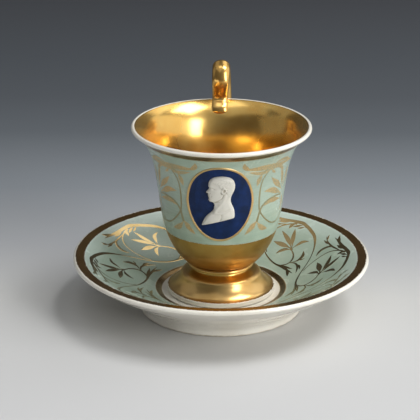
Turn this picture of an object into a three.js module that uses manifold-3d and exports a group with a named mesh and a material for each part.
// A bell-shaped porcelain cup on a turned foot, with a high loop handle and a portrait medallion,
// standing in the well of its saucer. Millimetres, +Z up, origin on the table under the saucer's axis.
// The medallion faces -Y and the handle stands behind the bowl, on +Y.

import * as THREE from 'three';
import { mergeVertices } from 'three/addons/utils/BufferGeometryUtils.js';
import Module from 'manifold-3d';

const wasm = await Module();
wasm.setup();

// Clearances
const lutingGap = 0.3; // slip line between pieces that are luted together
const restGap = 0.3; // air under the cup where it stands in the saucer

// Saucer
const saucerRadius = 77.5;
const saucerHeight = 29.2;
const saucerRimRound = 1.2; // radius of the rim's rounded edge
const rimBandWidth = 4.8; // flat band inside the rim
const rimBandFall = 0.5;
const rimSlope = 0.67; // rise over run of the dish just inside the band
const dishSlope = 0.3; // rise over run of the dish beside the well
const undersideBelly = 1.6; // how far the underside swells below a straight cone
const saucerFootRadius = 42.6;
const saucerFootHeight = 5.5;
const saucerFootWidth = 4;
const saucerFootChamfer = 0.6;
const wellRadius = 31.2;
const wellFloor = 9.3; // height of the well's floor above the table
const wellFloorThickness = 4.6;
const wellStepWidth = 2.4;
const wellStepRise = 1;

// Cup foot, with heights above the cup's base
const footRadius = 28.3;
const footEdgeHeight = 2.8;
const footEdgeChamfer = 0.5;
const footHollowRadius = 23;
const footHollowHeight = 7;
const shoulderRadius = 20.2;
const shoulderHeight = 8.6; // where the flare ends and the shoulder starts to round over
const shoulderTop = 11.8;
const neckRadius = 14.2;
const neckHeight = 12.8;
const collarRadius = 17.3; // bead between the neck and the bowl
const collarHeight = 14.8;
const collarThickness = 2;
const footTopRadius = 15.6;

// Bowl, with heights above the cup's base
const bowlBaseHeight = 16.1;
const bowlBaseRadius = 15.4;
const bowlKnuckleReach = 6; // how far the underside runs out before it turns up
const bowlKnuckleRise = 0.6;
const beltRadius = 29.5; // where the lower bowl meets the bell
const beltHeight = 35.4;
const beltSlope = 0.27; // run over rise of the wall at the belt
const lowerFullness = 8;
const bellFullness = 17.4;
const lipRadius = 45.9;
const lipHeight = 88.3;
const lipSlope = 1.75; // run over rise of the wall at the lip
const lipFullness = 8;
const bowlWall = 2.6;
const lipWall = 2;
const bowlFloorThickness = 4;

// Handle: a flat strap whose centre line runs in the YZ plane, up from the lip, over and down to the bowl
const handleThickness = 5.2;
const handleFrontWidth = 7.6; // at the lip
const handleBackWidth = 9.6;
const handleBevel = 1.7; // along the strap's four edges
const handleSeatInset = 1.7; // seat on the inside of the lip, inwards of its edge
const handleRise = 22; // top of the loop above the lip
const handleTopReach = 5.2; // highest point, beyond the seat
const handleReach = 16; // outermost point of the centre line, beyond the lip
const handleOuterDrop = 3; // outermost point, below the lip
const handleLowerHeight = 40.4; // where it meets the bowl below, above the cup's base
const handleLean = 0.37; // run over rise of the front leg as it leaves the lip
const frontFullness = 9;
const topFullness = 6.8;
const shoulderFullness = 11;
const backFullness = 20;
const lowerLegFullness = 16.6;

// Medallion
const medallionHeight = 59.5; // its centre above the cup's base
const plaqueWidth = 34.6; // along the wall
const plaqueHeight = 42.4;
const plaqueThickness = 0.8;
const headHeight = 14.6; // chin to crown
const headDepth = 13.9;
const chinAboveCentre = 1.6;
const portraitOffset = 0.4; // head's middle, towards the side it faces away from
const portraitThickness = 0.9;
const headSwell = 1.7; // how far the head swells beyond the relief's flat edge
const headSwellWidth = 13;
const headSwellHeight = 16.4;
const chestSwell = 1.3;
const chestSwellWidth = 11.6;
const chestSwellHeight = 14.6;

// Facets
const turnedSides = 40;
const curveSteps = 7;
const handleSteps = 44;
const plaqueSides = 24;
const plaqueRings = 4;
const swellSides = 16;
const bustSteps = 4; // along each stretch of the bust's outline

// Levels that follow from the sizes above
const cupBase = wellFloor + restGap;
const lipZ = cupBase + lipHeight;
const bowlBaseZ = cupBase + bowlBaseHeight;
const medallionZ = cupBase + medallionHeight;

const porcelain = new THREE.MeshStandardMaterial({ color: 0xe9e4da, roughness: 0.18, metalness: 0 });
const celadon = new THREE.MeshStandardMaterial({ color: 0x9db4a2, roughness: 0.2, metalness: 0 });
const gilding = new THREE.MeshStandardMaterial({ color: 0xb98a3e, roughness: 0.22, metalness: 1 });
const cobalt = new THREE.MeshStandardMaterial({ color: 0x1c2c5a, roughness: 0.5, metalness: 0 });
const bisque = new THREE.MeshStandardMaterial({ color: 0xdcd8cc, roughness: 0.75, metalness: 0 });

// A solid of revolution about Z from an outline of radius and height that runs out, up and back in
function turned(outline, sides) {
  return new THREE.LatheGeometry(outline, sides).rotateX(Math.PI / 2);
}

// A closed geometry as a solid for joining and cutting
function solidOf(geometry) {
  const bare = geometry.clone();
  bare.deleteAttribute('normal');
  bare.deleteAttribute('uv');
  const merged = mergeVertices(bare);
  const corners = merged.index.array;
  const kept = [];
  for (let i = 0; i < corners.length; i += 3) {
    const [a, b, c] = corners.slice(i, i + 3);
    if (a !== b && b !== c && c !== a) kept.push(a, b, c);
  }
  const vertProperties = merged.attributes.position.array;
  return new wasm.Manifold(new wasm.Mesh({ numProp: 3, vertProperties, triVerts: Uint32Array.from(kept) }));
}

function geometryOf(solid) {
  const mesh = solid.getMesh();
  const geometry = new THREE.BufferGeometry();
  geometry.setAttribute('position', new THREE.BufferAttribute(mesh.vertProperties, 3));
  geometry.setIndex(new THREE.BufferAttribute(mesh.triVerts, 1));
  geometry.computeVertexNormals();
  return geometry;
}

// Points moved sideways off a line that runs upwards: outwards where the distance is positive
function offset(points, distanceAt) {
  return points.map((point, i) => {
    const before = points[Math.max(i - 1, 0)];
    const after = points[Math.min(i + 1, points.length - 1)];
    const along = after.clone().sub(before).normalize();
    const distance = distanceAt(point);
    return new THREE.Vector2(point.x + along.y * distance, point.y - along.x * distance);
  });
}

// Radius of an upward line at a height, run on straight past its ends
function radiusAt(points, z) {
  const above = points.findIndex((point) => point.y >= z);
  const i = above < 0 ? points.length - 1 : Math.max(above, 1);
  const share = (z - points[i - 1].y) / (points[i].y - points[i - 1].y);
  return THREE.MathUtils.lerp(points[i - 1].x, points[i].x, share);
}

// Outside of the bowl, from the luted base up to the lip
function bowlOutside() {
  const belt = new THREE.Vector2(beltRadius, cupBase + beltHeight);
  const line = new THREE.Path();
  line.moveTo(bowlBaseRadius, bowlBaseZ);
  line.bezierCurveTo(
    bowlBaseRadius + bowlKnuckleReach, bowlBaseZ + bowlKnuckleRise,
    belt.x - lowerFullness * beltSlope, belt.y - lowerFullness,
    belt.x, belt.y,
  );
  line.bezierCurveTo(
    belt.x + bellFullness * beltSlope, belt.y + bellFullness,
    lipRadius - lipFullness * lipSlope, lipZ - lipFullness,
    lipRadius, lipZ,
  );
  return line.getPoints(curveSteps);
}

// The bowl's whole outline, or that of the bowl grown all over, for seating what is luted to it
function bowlOutline(grown = 0) {
  const outside = bowlOutside();
  const rise = (point) => (point.y - bowlBaseZ) / (lipZ - bowlBaseZ);
  const wallAt = (point) => THREE.MathUtils.lerp(bowlWall, lipWall, rise(point));
  const outer = offset(outside, () => grown);
  const floorZ = bowlBaseZ + bowlFloorThickness + grown;
  const inner = offset(outside, (point) => -wallAt(point) - grown);
  const lipOuter = outer.at(-1);
  const lipInner = inner.at(-1);
  const lipCentre = lipOuter.clone().add(lipInner).divideScalar(2);
  const lipStart = lipOuter.clone().sub(lipCentre);
  const lip = [0.25, 0.5, 0.75].map((share) => {
    return lipStart.clone().rotateAround(new THREE.Vector2(), share * Math.PI).add(lipCentre);
  });
  const base = [new THREE.Vector2(0, bowlBaseZ - grown), new THREE.Vector2(outer[0].x, bowlBaseZ - grown)];
  const inside = inner.filter((point) => point.y > floorZ).reverse();
  const floor = [new THREE.Vector2(radiusAt(inner, floorZ), floorZ), new THREE.Vector2(0, floorZ)];
  return [...base, ...outer.slice(1), ...lip, ...inside, ...floor];
}

// Turned pedestal: white edge, flare, rounded shoulder, neck and the bead that carries the bowl
function footOutline() {
  const top = bowlBaseZ - lutingGap;
  const edgeZ = cupBase + footEdgeHeight;
  const shoulderZ = cupBase + shoulderHeight;
  const shoulderTopZ = cupBase + shoulderTop;
  const neckZ = cupBase + neckHeight;
  const collarZ = cupBase + collarHeight;
  const flareRun = (footRadius - shoulderRadius) / 2;
  const neckLedge = (neckRadius + shoulderRadius) / 2;
  const line = new THREE.Path();
  line.moveTo(0, cupBase + footHollowHeight);
  line.quadraticCurveTo(footHollowRadius, cupBase + footHollowHeight, footHollowRadius, cupBase);
  line.lineTo(footRadius - footEdgeChamfer, cupBase);
  line.lineTo(footRadius, cupBase + footEdgeChamfer);
  line.lineTo(footRadius, edgeZ);
  line.bezierCurveTo(
    footRadius - flareRun, edgeZ,
    shoulderRadius, (edgeZ + shoulderZ) / 2,
    shoulderRadius, shoulderZ,
  );
  line.quadraticCurveTo(shoulderRadius, shoulderTopZ, neckLedge, shoulderTopZ);
  line.quadraticCurveTo(neckRadius, shoulderTopZ, neckRadius, neckZ);
  line.lineTo(neckRadius, collarZ - collarThickness / 2);
  line.quadraticCurveTo(collarRadius, collarZ - collarThickness / 2, collarRadius, collarZ);
  line.quadraticCurveTo(collarRadius, top, footTopRadius, top);
  line.lineTo(0, top);
  return line.getPoints(Math.ceil(curveSteps / 2));
}

function saucerOutline() {
  const footInner = saucerFootRadius - saucerFootWidth;
  const rimCentre = new THREE.Vector2(saucerRadius - saucerRimRound, saucerHeight - saucerRimRound);
  const rimTurn = Math.PI / 4;
  const rimUnder = rimCentre.clone().add(
    new THREE.Vector2(Math.cos(rimTurn), -Math.sin(rimTurn)).multiplyScalar(saucerRimRound),
  );
  const bellyR = (saucerFootRadius + rimUnder.x) / 2;
  const bellyZ = (saucerFootHeight + rimUnder.y) / 2 - undersideBelly;
  const dishTop = new THREE.Vector2(rimCentre.x - rimBandWidth, saucerHeight - rimBandFall);
  const dishFoot = new THREE.Vector2(wellRadius + wellStepWidth, wellFloor + wellStepRise);
  const dishPull = (dishTop.x - dishFoot.x) / 3;
  const line = new THREE.Path();
  line.moveTo(0, wellFloor - wellFloorThickness);
  line.lineTo(footInner, wellFloor - wellFloorThickness);
  line.lineTo(footInner, saucerFootChamfer);
  line.lineTo(footInner + saucerFootChamfer, 0);
  line.lineTo(saucerFootRadius - saucerFootChamfer, 0);
  line.lineTo(saucerFootRadius, saucerFootChamfer);
  line.lineTo(saucerFootRadius, saucerFootHeight);
  line.quadraticCurveTo(bellyR, bellyZ, rimUnder.x, rimUnder.y);
  line.absarc(rimCentre.x, rimCentre.y, saucerRimRound, -rimTurn, Math.PI / 2, false);
  line.lineTo(dishTop.x, dishTop.y);
  line.bezierCurveTo(
    dishTop.x - dishPull, dishTop.y - dishPull * rimSlope,
    dishFoot.x + dishPull, dishFoot.y + dishPull * dishSlope,
    dishFoot.x, dishFoot.y,
  );
  line.lineTo(wellRadius, wellFloor);
  line.lineTo(0, wellFloor);
  return line.getPoints(curveSteps);
}

// Loop handle: from the inside of the lip up, over and down to the lower bowl, ending inside the wall
function handlePath() {
  const at = (y, z) => new THREE.Vector3(0, y, z);
  const seat = at(lipRadius - handleSeatInset, lipZ);
  const top = at(seat.y + handleTopReach, lipZ + handleRise - handleThickness / 2);
  const outermost = at(lipRadius + handleReach, lipZ - handleOuterDrop);
  const lowerZ = cupBase + handleLowerHeight;
  const lower = at(radiusAt(bowlOutside(), lowerZ) - bowlWall / 2, lowerZ);
  const path = new THREE.CurvePath();
  path.add(new THREE.CubicBezierCurve3(
    seat,
    at(seat.y - handleLean * frontFullness, seat.z + frontFullness),
    at(top.y - topFullness, top.z),
    top,
  ));
  path.add(new THREE.CubicBezierCurve3(
    top,
    at(top.y + topFullness, top.z),
    at(outermost.y, outermost.z + shoulderFullness),
    outermost,
  ));
  path.add(new THREE.CubicBezierCurve3(
    outermost,
    at(outermost.y, outermost.z - backFullness),
    at(lower.y + lowerLegFullness, lower.z),
    lower,
  ));
  return path;
}

function handleSection() {
  const halfWidth = handleBackWidth / 2;
  const halfThickness = handleThickness / 2;
  const section = new THREE.Shape();
  section.moveTo(halfWidth, halfThickness - handleBevel);
  section.lineTo(halfWidth - handleBevel, halfThickness);
  section.lineTo(handleBevel - halfWidth, halfThickness);
  section.lineTo(-halfWidth, halfThickness - handleBevel);
  section.lineTo(-halfWidth, handleBevel - halfThickness);
  section.lineTo(handleBevel - halfWidth, -halfThickness);
  section.lineTo(halfWidth - handleBevel, -halfThickness);
  section.lineTo(halfWidth, handleBevel - halfThickness);
  return section;
}

function handleSolid() {
  const path = handlePath();
  const strap = new THREE.ExtrudeGeometry(handleSection(), { steps: handleSteps, extrudePath: path });
  narrowFrontLeg(strap, path);
  return solidOf(strap).subtract(solidOf(turned(bowlOutline(lutingGap), turnedSides)));
}

// The strap is slimmer where it comes down to the lip than over the top and down the back
function narrowFrontLeg(strap, path) {
  const stations = path.getSpacedPoints(handleSteps);
  const frontLegShare = path.curves[0].getLength() / path.getLength();
  const position = strap.attributes.position;
  const corner = new THREE.Vector3();
  for (let i = 0; i < position.count; i += 1) {
    corner.fromBufferAttribute(position, i).setX(0);
    const away = stations.map((station) => station.distanceToSquared(corner));
    const along = away.indexOf(Math.min(...away)) / (stations.length - 1);
    const fullWidth = THREE.MathUtils.smoothstep(along, 0, frontLegShare);
    const width = THREE.MathUtils.lerp(handleFrontWidth, handleBackWidth, fullWidth);
    position.setX(i, position.getX(i) * width / handleBackWidth);
  }
}

// A flat piece drawn on the wall, X round the bowl and Y up it, bent on to the bowl with Z off its surface
function bentOnBowl(geometry, standOff) {
  const wall = offset(bowlOutside(), () => standOff);
  const middleRadius = radiusAt(wall, medallionZ);
  const position = geometry.attributes.position;
  for (let i = 0; i < position.count; i += 1) {
    const turn = position.getX(i) / middleRadius;
    const z = medallionZ + position.getY(i);
    const r = radiusAt(wall, z) + position.getZ(i);
    position.setXYZ(i, r * Math.sin(turn), -r * Math.cos(turn), z);
  }
  return geometry;
}

// Oval plaque: a disc of rings, drawn out to the oval and bent to the wall
function plaqueGeometry() {
  const rings = Array.from({ length: plaqueRings + 1 }, (_, i) => i / plaqueRings);
  const back = rings.map((share) => new THREE.Vector2(share, 0));
  const front = rings.map((share) => new THREE.Vector2(share, plaqueThickness)).reverse();
  const disc = turned([...back, ...front], plaqueSides);
  disc.scale(plaqueWidth / 2, plaqueHeight / 2, 1);
  return bentOnBowl(disc, lutingGap);
}

// Outline of a bust in profile, in head heights and depths from the chin, facing -X, cut off aslant below
function bustShape() {
  const point = (x, y) => new THREE.Vector2(portraitOffset + x * headDepth, chinAboveCentre + y * headHeight);
  const shape = new THREE.Shape();
  shape.moveTo(...point(0, 1));
  const face = [[-0.3, 0.93], [-0.44, 0.72], [-0.43, 0.54], [-0.53, 0.34], [-0.45, 0.26], [-0.45, 0.14], [-0.41, 0]];
  shape.splineThru(face.map(([x, y]) => point(x, y)));
  const throat = [[-0.26, -0.05], [-0.28, -0.26], [-0.54, -0.5], [-0.74, -0.94]];
  shape.splineThru(throat.map(([x, y]) => point(x, y)));
  shape.lineTo(...point(0.46, -0.62));
  const nape = [[0.44, -0.36], [0.3, 0.02], [0.45, 0.36], [0.43, 0.76], [0.26, 0.95], [0, 1]];
  shape.splineThru(nape.map(([x, y]) => point(x, y)));
  return shape;
}

// Portrait: the bust's outline cut through a shell that follows the plaque, with head and chest swelling
function portraitSolid() {
  const seat = lutingGap + plaqueThickness + lutingGap;
  const bell = bowlOutside().slice(1);
  const inner = offset(bell, () => seat);
  const outer = offset(bell, () => seat + portraitThickness);
  const onAxis = (point) => new THREE.Vector2(0, point.y);
  const shell = solidOf(turned([...outer, ...inner.toReversed(), outer[0]], turnedSides));
  const core = solidOf(turned([onAxis(inner[0]), ...inner, onAxis(inner.at(-1))], turnedSides));
  const bust = new THREE.ExtrudeGeometry(bustShape(), {
    depth: lipRadius,
    bevelEnabled: false,
    curveSegments: bustSteps,
  });
  bust.rotateX(Math.PI / 2).translate(0, 0, medallionZ);
  const wallY = -radiusAt(outer, medallionZ);
  const swelling = (middle, width, height, rise) => {
    const ball = new THREE.SphereGeometry(1, swellSides, swellSides);
    ball.scale(width / 2, 2 * rise, height / 2);
    return solidOf(ball.translate(portraitOffset, wallY + rise, medallionZ + middle));
  };
  const head = swelling(chinAboveCentre + headHeight / 2, headSwellWidth, headSwellHeight, headSwell);
  const chest = swelling(chinAboveCentre - headHeight / 2, chestSwellWidth, chestSwellHeight, chestSwell);
  return shell.add(head).add(chest).intersect(solidOf(bust)).subtract(core);
}

const set = new THREE.Group();

function piece(name, geometry, material) {
  const mesh = new THREE.Mesh(geometry, material);
  mesh.name = name;
  set.add(mesh);
}

piece('saucer', turned(saucerOutline(), turnedSides), porcelain);
piece('cup_foot', turned(footOutline(), turnedSides), gilding);
piece('cup_bowl', turned(bowlOutline(), turnedSides), celadon);
piece('cup_handle', geometryOf(handleSolid()), gilding);
piece('medallion_plaque', plaqueGeometry(), cobalt);
piece('portrait_relief', geometryOf(portraitSolid()), bisque);

export default set;
